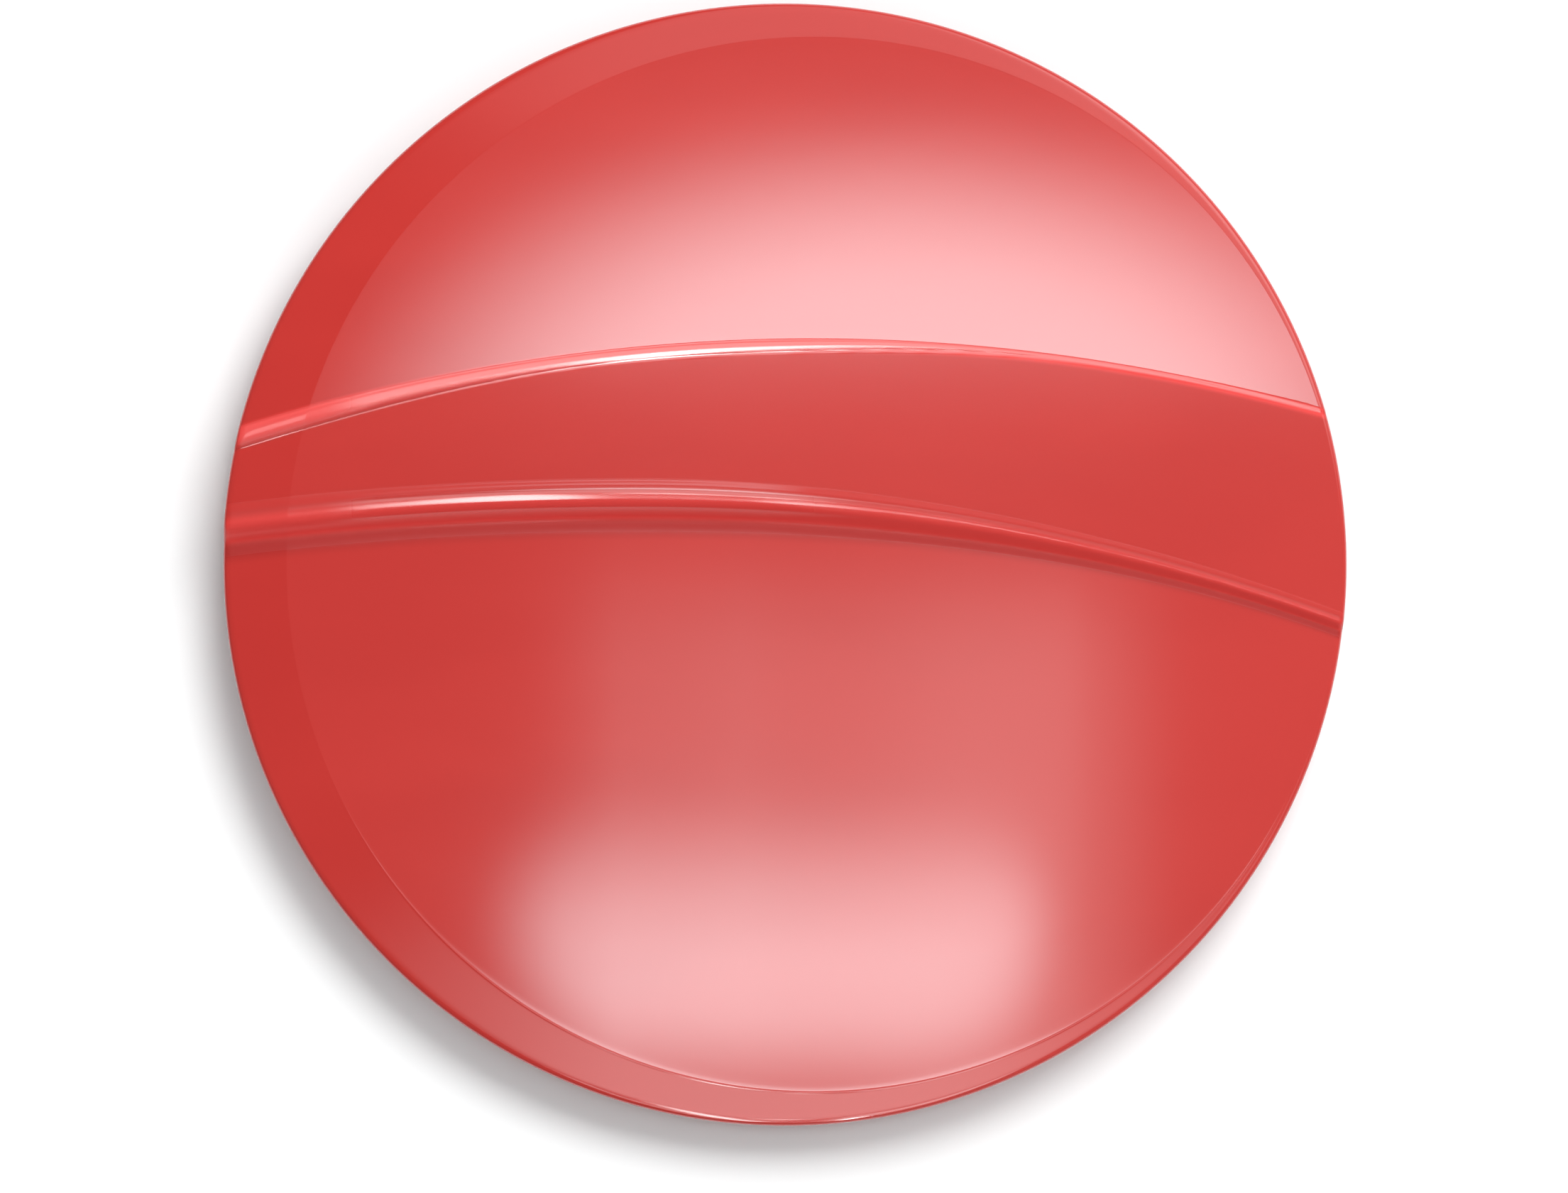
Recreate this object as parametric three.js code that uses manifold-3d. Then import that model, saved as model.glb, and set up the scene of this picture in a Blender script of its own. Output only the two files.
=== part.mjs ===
// A flying disc: a thin glossy top shell with two moulded folds sweeping across it, a rigid
// inner rim that stands under the shell's edge, and a soft grip ring moulded round the rim's foot.
// Millimetres, +Z up. The origin is the centre of the circle that the disc rests on.

import * as THREE from "three";
import { mergeVertices } from "three/addons/utils/BufferGeometryUtils.js";
import Module from "manifold-3d";

const wasm = await Module();
wasm.setup();

// Overall size
const DISC_RADIUS = 137;
const APEX_HEIGHT = 32.9;
const DOME_RADIUS = 1700;
const WALL = 1.5;
const GAP = 0.3;

// The three fields of the top lean away from the middle by these slopes (rise over run).
const CROWN_TILT = 0.035;
const BAND_TILT = 0.02;
const APRON_TILT = 0.03;

// Each fold runs along a crest line, a parabola that falls away to both sides of its peak.
const UPPER_CREST = { peakX: 7, peakY: 54.9, bendLeft: 457, bendRight: 457 };
const LOWER_CREST = { peakX: -37, peakY: 19.4, bendLeft: 806, bendRight: 472 };

// The upper fold is a rounded lip between two creases. It is broader on the left than on the right.
const LIP = { radius: 9, shallowest: 13, steepest: 36 };
const LIP_SCALE = { left: 1.6, leftFrom: -40, leftTo: -135, right: 0.3, rightFrom: -10, rightTo: 75 };

// The lower fold is a bead with a riser and a fillet below it. It is narrower towards the right.
const BEAD = { radius: 7, back: 10, steepest: 44, riser: 2, fillet: 3 };
const BEAD_SCALE = { left: 1.05, right: 0.5, from: -40, to: 137 };

// The shoulder starts at a circle that sits a little to the right of the disc's centre.
const SHOULDER = { centreX: 7.3, radius: 128.7, lean: 0.07 };
const EDGE = { width: 1.3, drop: 1.1 };

// The rim below the shell
const SKIRT_BOTTOM = 8;
const RIM_INNER_RADIUS = 125.6;
const RIM_WEB = 2.4;
const RIM_FLANGE = 2.4;
const RIM_BOTTOM = SKIRT_BOTTOM - RIM_FLANGE;
const RIM_BLANK_TOP = 40;
const GRIP_INNER_RADIUS = 124;
const GRIP_LIP_TOP = 9.4;
const GRIP_FLAT = { inner: 127.4, outer: 132.2 };
const RING_SEGMENTS = 96;
const GRIP_ARC_STEPS = 4;

// The shell's grid: rows that follow the folds, columns that cross them, rings near the edge.
const COLUMNS = 24;
const EDGE_SHARE = 0.07;
const RING_STEPS = [0.45, 0.75, 0.92, 1];
const APRON_ROWS = [0.08, 0.24, 0.4, 0.56, 0.7, 0.81, 0.88, 0.91, 0.935, 0.955, 0.972, 0.987];
const BAND_ROWS = [0, 0.035, 0.07, 0.13, 0.3, 0.5, 0.7, 0.84, 0.895, 0.93, 0.965];
const CROWN_ROWS = [0, 0.04, 0.13, 0.26, 0.4, 0.55, 0.7, 0.83, 0.93];
const INWARD_POWER = 8;

const clamp = THREE.MathUtils.clamp;
const lerp = THREE.MathUtils.lerp;
const radians = THREE.MathUtils.degToRad;

function crestY(crest, x) {
  const run = x - crest.peakX;
  const bend = run < 0 ? crest.bendLeft : crest.bendRight;
  return crest.peakY - (run * run) / (2 * bend);
}

// How far an arc of the given radius has fallen at a distance from its top.
function arcDrop(radius, distance) {
  return radius - Math.sqrt(radius * radius - distance * distance);
}

function lipDrop(distance, x) {
  const growth = THREE.MathUtils.smoothstep(-x, -LIP_SCALE.leftFrom, -LIP_SCALE.leftTo);
  const shrinking = THREE.MathUtils.smoothstep(x, LIP_SCALE.rightFrom, LIP_SCALE.rightTo);
  const radius = LIP.radius * lerp(1, LIP_SCALE.left, growth) * lerp(1, LIP_SCALE.right, shrinking);
  const start = radius * Math.sin(radians(LIP.shallowest));
  const end = radius * Math.sin(radians(LIP.steepest));
  return arcDrop(radius, clamp(start + distance, start, end)) - arcDrop(radius, start);
}

function beadHeight(distance, x) {
  const narrowing = THREE.MathUtils.smoothstep(x, BEAD_SCALE.from, BEAD_SCALE.to);
  const scale = lerp(BEAD_SCALE.left, BEAD_SCALE.right, narrowing);
  const run = distance / scale;
  const steepest = radians(BEAD.steepest);
  const back = BEAD.radius * Math.sin(radians(BEAD.back));
  const front = BEAD.radius * Math.sin(steepest);
  const filletRun = BEAD.fillet * Math.sin(steepest);
  const filletLeft = filletRun - clamp(run - front - BEAD.riser, 0, filletRun);
  const rise = arcDrop(BEAD.radius, back) - arcDrop(BEAD.radius, clamp(-run, 0, back));
  const nose = arcDrop(BEAD.radius, clamp(run, 0, front));
  const riser = Math.tan(steepest) * clamp(run - front, 0, BEAD.riser);
  const fillet = arcDrop(BEAD.fillet, filletRun) - arcDrop(BEAD.fillet, filletLeft);
  return scale * (rise - nose - riser - fillet);
}

// The shoulder leans outwards a little, and the very edge of the disc rolls down.
function shoulderDrop(x, y) {
  const beyond = Math.hypot(x - SHOULDER.centreX, y) - SHOULDER.radius;
  const toEdge = Math.max(DISC_RADIUS - Math.hypot(x, y), 0);
  const share = 1 - Math.min(toEdge / EDGE.width, 1);
  const roll = EDGE.drop * (1 - Math.sqrt(1 - share * share));
  return SHOULDER.lean * Math.max(beyond, 0) + roll;
}

function topHeight(x, y) {
  const belowUpper = crestY(UPPER_CREST, x) - y;
  const belowLower = crestY(LOWER_CREST, x) - y;
  const bandWidth = belowUpper - belowLower;
  const dome = APEX_HEIGHT - (x * x + y * y) / (2 * DOME_RADIUS);
  const crown = CROWN_TILT * Math.max(-belowUpper, 0);
  const band = BAND_TILT * clamp(belowUpper, 0, bandWidth);
  const apron = APRON_TILT * Math.max(belowLower, 0);
  const fields = dome - crown - band - apron;
  return fields - lipDrop(belowUpper, x) + beadHeight(belowLower, x) - shoulderDrop(x, y);
}

// The angle at which a crest line meets the disc's edge, on the side given by -1 or 1.
function crestEndAngle(crest, side) {
  let x = side * DISC_RADIUS;
  for (let pass = 0; pass < 12; pass += 1) {
    x = side * Math.sqrt(DISC_RADIUS ** 2 - crestY(crest, x) ** 2);
  }
  return Math.atan2(crestY(crest, x), x);
}

function edgePoint(angle) {
  return new THREE.Vector2(DISC_RADIUS * Math.cos(angle), DISC_RADIUS * Math.sin(angle));
}

// The four lines that the rows run between: the lower edge, both crests and the upper edge.
// Each has the angles at which it meets the edge, the right one between -180 and 180 degrees.
function edgeGuide(left, right, sweep) {
  return { left, right, at: (share) => edgePoint(left + share * sweep) };
}

function crestGuide(crest) {
  const left = crestEndAngle(crest, -1);
  const right = crestEndAngle(crest, 1);
  const at = (share) => {
    const x = lerp(edgePoint(left).x, edgePoint(right).x, share);
    return new THREE.Vector2(x, crestY(crest, x));
  };
  return { left, right, at };
}

const GUIDES = [
  edgeGuide(radians(225), radians(-45), radians(90)),
  crestGuide(LOWER_CREST),
  crestGuide(UPPER_CREST),
  edgeGuide(radians(135), radians(45), radians(-90)),
];

// Every row lies between two guides, at a share of the way from the lower to the upper one.
const ROWS = [APRON_ROWS, BAND_ROWS, CROWN_ROWS].flatMap((shares, field) => {
  const [lower, upper] = [GUIDES[field], GUIDES[field + 1]];
  return shares.map((share) => ({
    lower,
    upper,
    share,
    left: lerp(lower.left, upper.left, share),
    right: lerp(lower.right, upper.right, share),
  }));
});

// A row's point, blended from its two guides and from its own two ends on the disc's edge.
function rowPoint(row, across) {
  const between = (share) => row.lower.at(share).lerp(row.upper.at(share), row.share);
  const leftBulge = edgePoint(row.left).sub(between(0)).multiplyScalar(1 - across);
  const rightBulge = edgePoint(row.right).sub(between(1)).multiplyScalar(across);
  return between(across).add(leftBulge).add(rightBulge);
}

// The border of the block of rows and columns, anticlockwise, each point with an edge angle.
function blockBorder(indexOf) {
  const top = ROWS.length - 1;
  const fullTurn = 2 * Math.PI;
  const lowerSide = (share) => lerp(ROWS[0].left, ROWS[0].right + fullTurn, share);
  const upperSide = (share) => lerp(ROWS[top].left, ROWS[top].right, share);
  const border = [];
  for (let column = 0; column < COLUMNS; column += 1) {
    border.push({ index: indexOf(0, column), angle: lowerSide(column / COLUMNS) });
  }
  for (let row = 0; row < top; row += 1) {
    border.push({ index: indexOf(row, COLUMNS), angle: ROWS[row].right });
  }
  for (let column = COLUMNS; column > 0; column -= 1) {
    border.push({ index: indexOf(top, column), angle: upperSide(column / COLUMNS) });
  }
  for (let row = top; row > 0; row -= 1) {
    border.push({ index: indexOf(row, 0), angle: ROWS[row].left });
  }
  return border;
}

// The flat net of the shell: a block of rows and columns, and rings from it to the disc's edge.
function shellNet() {
  const indexOf = (row, column) => row * (COLUMNS + 1) + column;
  const points = ROWS.flatMap((row) => {
    return Array.from({ length: COLUMNS + 1 }, (_, column) => {
      return rowPoint(row, lerp(EDGE_SHARE, 1 - EDGE_SHARE, column / COLUMNS));
    });
  });
  const quads = [];
  for (let row = 0; row + 1 < ROWS.length; row += 1) {
    for (let column = 0; column < COLUMNS; column += 1) {
      const [low, high] = [indexOf(row, column), indexOf(row + 1, column)];
      quads.push([low, low + 1, high + 1, high]);
    }
  }
  const border = blockBorder(indexOf);
  let edge = border.map((corner) => corner.index);
  for (const step of RING_STEPS) {
    const ring = border.map((corner) => {
      return points.push(points[corner.index].clone().lerp(edgePoint(corner.angle), step)) - 1;
    });
    quads.push(...ribbon(edge, ring));
    edge = ring;
  }
  return { points, quads, edge };
}

// Quads between two closed loops of points, where the second lies outside or below the first.
function ribbon(first, second) {
  return first.map((_, place) => {
    const next = (place + 1) % first.length;
    return [first[place], second[place], second[next], first[next]];
  });
}

function turnedOver(quads) {
  return quads.map((quad) => [...quad].reverse());
}

// A closed mesh from corner positions and four-sided faces, each cut in two.
function meshFromQuads(corners, quads) {
  const geometry = new THREE.BufferGeometry();
  const places = corners.flatMap((corner) => corner.toArray());
  geometry.setAttribute("position", new THREE.Float32BufferAttribute(places, 3));
  geometry.setIndex(quads.flatMap(([a, b, c, d]) => [a, b, c, a, c, d]));
  geometry.computeVertexNormals();
  return geometry;
}

// The underside of the shell is its top moved down and, near the edge, drawn in by the wall.
function undersidePoint(point, drop) {
  const draw = (WALL / DISC_RADIUS) * (point.length() / DISC_RADIUS) ** INWARD_POWER;
  const inner = point.clone().multiplyScalar(1 - draw);
  return new THREE.Vector3(inner.x, inner.y, topHeight(point.x, point.y) - WALL - drop);
}

const NET = shellNet();

function topShell() {
  const corners = [
    ...NET.points.map((point) => new THREE.Vector3(point.x, point.y, topHeight(point.x, point.y))),
    ...NET.points.map((point) => undersidePoint(point, 0)),
  ];
  const atSkirtBottom = (index) => {
    return corners.push(new THREE.Vector3(corners[index].x, corners[index].y, SKIRT_BOTTOM)) - 1;
  };
  const insideEdge = NET.edge.map((index) => index + NET.points.length);
  const outerFoot = NET.edge.map(atSkirtBottom);
  const innerFoot = insideEdge.map(atSkirtBottom);
  const underside = NET.quads.map((quad) => quad.map((index) => index + NET.points.length));
  return meshFromQuads(corners, [
    ...NET.quads,
    ...ribbon(NET.edge, outerFoot),
    ...ribbon(outerFoot, innerFoot),
    ...ribbon(innerFoot, insideEdge),
    ...turnedOver(underside),
  ]);
}

// All the space above the shell's underside and a thin gap below it.
function spaceAboveUnderside() {
  const lids = NET.points.map((point) => undersidePoint(point, GAP));
  const roofs = lids.map((lid) => new THREE.Vector3(lid.x, lid.y, RIM_BLANK_TOP + GAP));
  const roofEdge = NET.edge.map((index) => index + lids.length);
  const roof = NET.quads.map((quad) => quad.map((index) => index + lids.length));
  return meshFromQuads([...lids, ...roofs], [
    ...roof,
    ...ribbon(roofEdge, NET.edge),
    ...turnedOver(NET.quads),
  ]);
}

// A ring about the disc's axis with the given closed cross-section of radius and height.
function ringOf(section) {
  const outline = [...section, section[0]].map(([radius, height]) => new THREE.Vector2(radius, height));
  return new THREE.LatheGeometry(outline, RING_SEGMENTS).rotateX(Math.PI / 2);
}

function toSolid(geometry) {
  const bare = geometry.clone();
  bare.deleteAttribute("normal");
  bare.deleteAttribute("uv");
  const merged = mergeVertices(bare);
  return new wasm.Manifold(new wasm.Mesh({
    numProp: 3,
    vertProperties: new Float32Array(merged.attributes.position.array),
    triVerts: new Uint32Array(merged.index.array),
  }));
}

function toGeometry(solid) {
  const mesh = solid.getMesh();
  const geometry = new THREE.BufferGeometry();
  geometry.setAttribute("position", new THREE.BufferAttribute(mesh.vertProperties, mesh.numProp));
  geometry.setIndex(new THREE.BufferAttribute(mesh.triVerts, 1));
  geometry.computeVertexNormals();
  return geometry;
}

// An upright web with an outward flange at its foot, trimmed to the shell's underside.
function innerRim() {
  const webOuter = RIM_INNER_RADIUS + RIM_WEB;
  const flangeOuter = DISC_RADIUS - WALL - GAP;
  const blank = ringOf([
    [RIM_INNER_RADIUS, RIM_BOTTOM],
    [flangeOuter, RIM_BOTTOM],
    [flangeOuter, SKIRT_BOTTOM],
    [webOuter, SKIRT_BOTTOM],
    [webOuter, RIM_BLANK_TOP],
    [RIM_INNER_RADIUS, RIM_BLANK_TOP],
  ]);
  return toGeometry(toSolid(blank).subtract(toSolid(spaceAboveUnderside())));
}

// Points on a quarter ellipse from one radius and height to another.
function quarterTurn(from, to, startsLevel) {
  return Array.from({ length: GRIP_ARC_STEPS + 1 }, (_, step) => {
    const angle = (step / GRIP_ARC_STEPS) * (Math.PI / 2);
    const [radiusShare, heightShare] = startsLevel
      ? [Math.sin(angle), 1 - Math.cos(angle)]
      : [1 - Math.cos(angle), Math.sin(angle)];
    return [lerp(from[0], to[0], radiusShare), lerp(from[1], to[1], heightShare)];
  });
}

// A soft ring under the rim's foot, with a lip up the outside and a higher one up the inside.
function gripRing() {
  const outerLipTop = SKIRT_BOTTOM - GAP;
  const outerRound = quarterTurn([GRIP_FLAT.outer, 0], [DISC_RADIUS, RIM_BOTTOM], true);
  const innerRound = quarterTurn([GRIP_INNER_RADIUS, RIM_BOTTOM], [GRIP_FLAT.inner, 0], false);
  const lipInside = RIM_INNER_RADIUS - GAP;
  const outerLipInside = DISC_RADIUS - WALL;
  return ringOf([
    ...outerRound,
    [DISC_RADIUS, outerLipTop],
    [outerLipInside, outerLipTop],
    [outerLipInside, RIM_BOTTOM - GAP],
    [lipInside, RIM_BOTTOM - GAP],
    [lipInside, GRIP_LIP_TOP],
    [GRIP_INNER_RADIUS, GRIP_LIP_TOP],
    ...innerRound,
  ]);
}

function glossRed() {
  return new THREE.MeshStandardMaterial({ color: "#d2433c", roughness: 0.12, metalness: 0 });
}

function satinRed() {
  return new THREE.MeshStandardMaterial({ color: "#b93a34", roughness: 0.4, metalness: 0 });
}

function softRed() {
  return new THREE.MeshStandardMaterial({ color: "#c23f38", roughness: 0.65, metalness: 0 });
}

function piece(name, geometry, material) {
  const mesh = new THREE.Mesh(geometry, material);
  mesh.name = name;
  return mesh;
}

const disc = new THREE.Group();
disc.add(piece("top_shell", topShell(), glossRed()));
disc.add(piece("inner_rim", innerRim(), satinRed()));
disc.add(piece("grip_ring", gripRing(), softRed()));

export default disc;
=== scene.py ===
"""A glossy flying disc with two moulded folds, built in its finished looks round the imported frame."""

import math

import bpy
import numpy as np
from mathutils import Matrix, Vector


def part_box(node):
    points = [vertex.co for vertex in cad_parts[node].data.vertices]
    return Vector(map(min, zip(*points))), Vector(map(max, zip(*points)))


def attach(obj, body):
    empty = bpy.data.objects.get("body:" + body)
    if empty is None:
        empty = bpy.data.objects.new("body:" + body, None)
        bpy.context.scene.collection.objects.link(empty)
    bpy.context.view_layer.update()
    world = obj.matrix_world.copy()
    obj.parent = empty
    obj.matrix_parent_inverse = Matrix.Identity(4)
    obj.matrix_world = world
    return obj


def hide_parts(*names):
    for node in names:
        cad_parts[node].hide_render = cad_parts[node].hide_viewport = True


MM = 0.001

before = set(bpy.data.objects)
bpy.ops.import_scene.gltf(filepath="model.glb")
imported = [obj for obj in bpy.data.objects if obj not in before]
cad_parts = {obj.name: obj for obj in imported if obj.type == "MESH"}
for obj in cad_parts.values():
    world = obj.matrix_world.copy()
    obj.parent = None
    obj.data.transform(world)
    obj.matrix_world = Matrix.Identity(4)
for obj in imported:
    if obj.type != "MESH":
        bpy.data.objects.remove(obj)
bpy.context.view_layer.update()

# ---------------------------------------------------------------- sizes, from the frame

SHELL_LOW, SHELL_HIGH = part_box("top_shell")
RIM_LOW, RIM_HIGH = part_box("inner_rim")
GRIP_LOW, GRIP_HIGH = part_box("grip_ring")

DISC_RADIUS = GRIP_HIGH.x
SKIRT_BOTTOM = SHELL_LOW.z
RIM_BOTTOM = RIM_LOW.z
GRIP_LIP_TOP = GRIP_HIGH.z
GAP = 0.3 * MM
WALL = DISC_RADIUS - RIM_HIGH.x - GAP

# ---------------------------------------------------------------- the rule of the top's shape

CREST_RISE = 0.9 * MM

# Each is a named input of the trees that form the shell and the rim's upper edge.
SHAPE = {
    "Disc Radius": DISC_RADIUS,
    "Wall": WALL,
    "Apex Height": SHELL_HIGH.z + CREST_RISE,
    "Dome Radius": 1700 * MM,
    "Crown Tilt": 0.035,
    "Band Tilt": 0.02,
    "Apron Tilt": 0.03,
    "Upper Crest X": 7 * MM,
    "Upper Crest Y": 54.9 * MM,
    "Upper Crest Bend Left": 457 * MM,
    "Upper Crest Bend Right": 457 * MM,
    "Lower Crest X": -37 * MM,
    "Lower Crest Y": 19.4 * MM,
    "Lower Crest Bend Left": 806 * MM,
    "Lower Crest Bend Right": 472 * MM,
    "Lip Radius": 9 * MM,
    "Lip Shallowest": math.radians(13),
    "Lip Steepest": math.radians(36),
    "Lip Scale Left": 1.6,
    "Lip Left From": -40 * MM,
    "Lip Left To": -135 * MM,
    "Lip Scale Right": 0.3,
    "Lip Right From": -10 * MM,
    "Lip Right To": 75 * MM,
    "Bead Radius": 7 * MM,
    "Bead Back": math.radians(10),
    "Bead Steepest": math.radians(44),
    "Bead Riser": 2 * MM,
    "Bead Fillet": 3 * MM,
    "Bead Scale Left": 1.05,
    "Bead Scale Right": 0.5,
    "Bead Narrowing From": -40 * MM,
    "Bead Narrowing To": 137 * MM,
    "Shoulder Centre X": 7.3 * MM,
    "Shoulder Radius": 128.7 * MM,
    "Shoulder Lean": 0.07,
    "Edge Width": 1.3 * MM,
    "Edge Drop": 1.1 * MM,
    "Line Height": 0.05 * MM,
    "Line Width": 0.16 * MM,
    "Line From": 40 * MM,
    "Line To": 95 * MM,
}

# ---------------------------------------------------------------- node trees as expressions


class Link:
    """A value in a node tree. Arithmetic on it adds Math nodes to the tree."""

    def __init__(self, tree, socket):
        self.tree = tree
        self.socket = socket

    def math(self, operation, *values, clamped=False):
        """The result of one Math node."""
        settings = {"operation": operation, "use_clamp": clamped}
        return self.tree.link("ShaderNodeMath", settings, dict(enumerate(values)))

    def __add__(self, other):
        return self.math("ADD", self, other)

    def __radd__(self, other):
        return self.math("ADD", other, self)

    def __sub__(self, other):
        return self.math("SUBTRACT", self, other)

    def __rsub__(self, other):
        return self.math("SUBTRACT", other, self)

    def __mul__(self, other):
        return self.math("MULTIPLY", self, other)

    def __rmul__(self, other):
        return self.math("MULTIPLY", other, self)

    def __truediv__(self, other):
        return self.math("DIVIDE", self, other)

    def __rtruediv__(self, other):
        return self.math("DIVIDE", other, self)

    def __pow__(self, other):
        return self.math("POWER", self, other)

    def __neg__(self):
        return self.math("MULTIPLY", self, -1)

    def root(self):
        return self.math("SQRT", self)

    def sine(self):
        return self.math("SINE", self)

    def cosine(self):
        return self.math("COSINE", self)

    def tangent(self):
        return self.math("TANGENT", self)

    def whole(self):
        return self.math("FLOOR", self)

    def at_least(self, other):
        return self.math("MAXIMUM", self, other)

    def at_most(self, other):
        return self.math("MINIMUM", self, other)

    def above(self, other):
        return self.math("GREATER_THAN", self, other)

    def remainder(self, other):
        return self.math("MODULO", self, other)

    def smooth_step(self, low, high):
        """0 below low, 1 above high, and a smooth change between."""
        share = self.math("DIVIDE", self - low, high - low, clamped=True)
        return share * share * (3 - 2 * share)


class Tree:
    """A node tree, with one method for any node."""

    def __init__(self, tree):
        self.tree = tree

    def node(self, kind, settings=None, values=None):
        """Adds a node: its settings first, then its sockets by name or place."""
        node = self.tree.nodes.new(kind)
        for name, setting in (settings or {}).items():
            setattr(node, name, setting)
        for name, value in (values or {}).items():
            if isinstance(value, Link):
                self.tree.links.new(value.socket, node.inputs[name])
            else:
                node.inputs[name].default_value = value
        return node

    def link(self, kind, settings=None, values=None, output=0):
        """Adds a node and returns one of its outputs."""
        return Link(self, self.node(kind, settings, values).outputs[output])

    def split(self, vector):
        """The three numbers of a vector."""
        parts = self.node("ShaderNodeSeparateXYZ", values={0: vector})
        return [Link(self, output) for output in parts.outputs]

    def join(self, x, y, z):
        return self.link("ShaderNodeCombineXYZ", values={0: x, 1: y, 2: z})

    def mix(self, factor, first, second):
        """A colour between two colours."""
        settings = {"data_type": "RGBA"}
        return self.link("ShaderNodeMix", settings, {0: factor, 6: first, 7: second}, output=2)


class GeometryTree(Tree):
    """A Geometry Nodes tree with named inputs, which makes one plain mesh."""

    def __init__(self, name, sizes):
        super().__init__(bpy.data.node_groups.new(name, "GeometryNodeTree"))
        face = self.tree.interface
        face.new_socket("Geometry", in_out="INPUT", socket_type="NodeSocketGeometry")
        face.new_socket("Geometry", in_out="OUTPUT", socket_type="NodeSocketGeometry")
        for size in sizes:
            face.new_socket(size, in_out="INPUT", socket_type="NodeSocketFloat")
        self.sizes = dict(sizes)
        self.given = self.tree.nodes.new("NodeGroupInput")

    def size(self, name):
        return Link(self, self.given.outputs[name])

    def finish(self, geometry, material):
        """Ends the tree in Realize Instances and Set Material."""
        real = self.link("GeometryNodeRealizeInstances", values={0: geometry})
        smooth = self.link("GeometryNodeSetShadeSmooth", values={0: real})
        values = {"Geometry": smooth, "Material": material}
        self.node("NodeGroupOutput", values={0: self.link("GeometryNodeSetMaterial", values=values)})

    def make(self, name, start):
        """Runs the tree on a starting mesh and returns the result as a plain mesh object."""
        holder = bpy.data.objects.new(name + "_form", start)
        bpy.context.scene.collection.objects.link(holder)
        modifier = holder.modifiers.new("form", "NODES")
        modifier.node_group = self.tree
        for item in self.tree.interface.items_tree:
            if item.in_out == "INPUT" and item.name in self.sizes:
                modifier[item.identifier] = float(self.sizes[item.name])
        graph = bpy.context.evaluated_depsgraph_get()
        mesh = bpy.data.meshes.new_from_object(holder.evaluated_get(graph), depsgraph=graph)
        bpy.data.objects.remove(holder)
        mesh.name = name
        piece = bpy.data.objects.new(name, mesh)
        bpy.context.scene.collection.objects.link(piece)
        return piece


# ---------------------------------------------------------------- the height of the top


def hypotenuse(x, y):
    return (x * x + y * y).root()


def arc_drop(radius, distance):
    """How far an arc has fallen at a distance from its top."""
    return radius - (radius * radius - distance * distance).at_least(0).root()


def crest_height(size, name, x):
    """The place across the disc of a crest line, a parabola on either side of its peak."""
    run = x - size(name + " Crest X")
    left = run.at_most(0)
    right = run.at_least(0)
    fall_left = left * left / (2 * size(name + " Crest Bend Left"))
    fall_right = right * right / (2 * size(name + " Crest Bend Right"))
    return size(name + " Crest Y") - fall_left - fall_right


def lip_scale(size, x):
    """The size of the lip, more on the left and less on the right."""
    growth = (-x).smooth_step(-size("Lip Left From"), -size("Lip Left To"))
    shrinking = x.smooth_step(size("Lip Right From"), size("Lip Right To"))
    return (1 + (size("Lip Scale Left") - 1) * growth) * (1 + (size("Lip Scale Right") - 1) * shrinking)


def lip_drop(size, below, x):
    """The upper fold: a rounded lip between two creases."""
    radius = size("Lip Radius") * lip_scale(size, x)
    start = radius * size("Lip Shallowest").sine()
    end = radius * size("Lip Steepest").sine()
    return arc_drop(radius, (start + below).at_least(start).at_most(end)) - arc_drop(radius, start)


def bead_scale(size, x):
    """The size of the bead, less on the right."""
    narrowing = x.smooth_step(size("Bead Narrowing From"), size("Bead Narrowing To"))
    return size("Bead Scale Left") + (size("Bead Scale Right") - size("Bead Scale Left")) * narrowing


def bead_height(size, below, x):
    """The lower fold: a bead, then a riser and a fillet."""
    scale = bead_scale(size, x)
    run = below / scale
    radius = size("Bead Radius")
    fillet = size("Bead Fillet")
    back = radius * size("Bead Back").sine()
    front = radius * size("Bead Steepest").sine()
    fillet_run = fillet * size("Bead Steepest").sine()
    rise = arc_drop(radius, back) - arc_drop(radius, (-run).at_least(0).at_most(back))
    nose = arc_drop(radius, run.at_least(0).at_most(front))
    riser = size("Bead Steepest").tangent() * (run - front).at_least(0).at_most(size("Bead Riser"))
    past = (run - front - size("Bead Riser")).at_least(0).at_most(fillet_run)
    foot = arc_drop(fillet, fillet_run) - arc_drop(fillet, fillet_run - past)
    return scale * (rise - nose - riser - foot)


def shoulder_drop(size, x, y):
    """The shoulder outside its circle leans slightly, and the very edge rolls down."""
    beyond = hypotenuse(x - size("Shoulder Centre X"), y) - size("Shoulder Radius")
    to_edge = (size("Disc Radius") - hypotenuse(x, y)).at_least(0)
    share = 1 - (to_edge / size("Edge Width")).at_most(1)
    roll = size("Edge Drop") * (1 - (1 - share * share).at_least(0).root())
    spread = beyond / size("Line Width")
    presence = (-y).smooth_step(size("Line From"), size("Line To"))
    line = presence * size("Line Height") / (1 + spread * spread)
    return size("Shoulder Lean") * beyond.at_least(0) + roll - line


def top_height(tree, x, y):
    """The height of the shell's top over any point of the disc."""
    size = tree.size
    below_upper = crest_height(size, "Upper", x) - y
    below_lower = crest_height(size, "Lower", x) - y
    band_width = below_upper - below_lower
    dome = size("Apex Height") - (x * x + y * y) / (2 * size("Dome Radius"))
    crown = size("Crown Tilt") * (-below_upper).at_least(0)
    band = size("Band Tilt") * below_upper.at_least(0).at_most(band_width)
    apron = size("Apron Tilt") * below_lower.at_least(0)
    folds = bead_height(size, below_lower, x) - lip_drop(size, below_upper, x)
    return dome - crown - band - apron + folds - shoulder_drop(size, x, y)


# ---------------------------------------------------------------- the shell's flat blank

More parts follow.
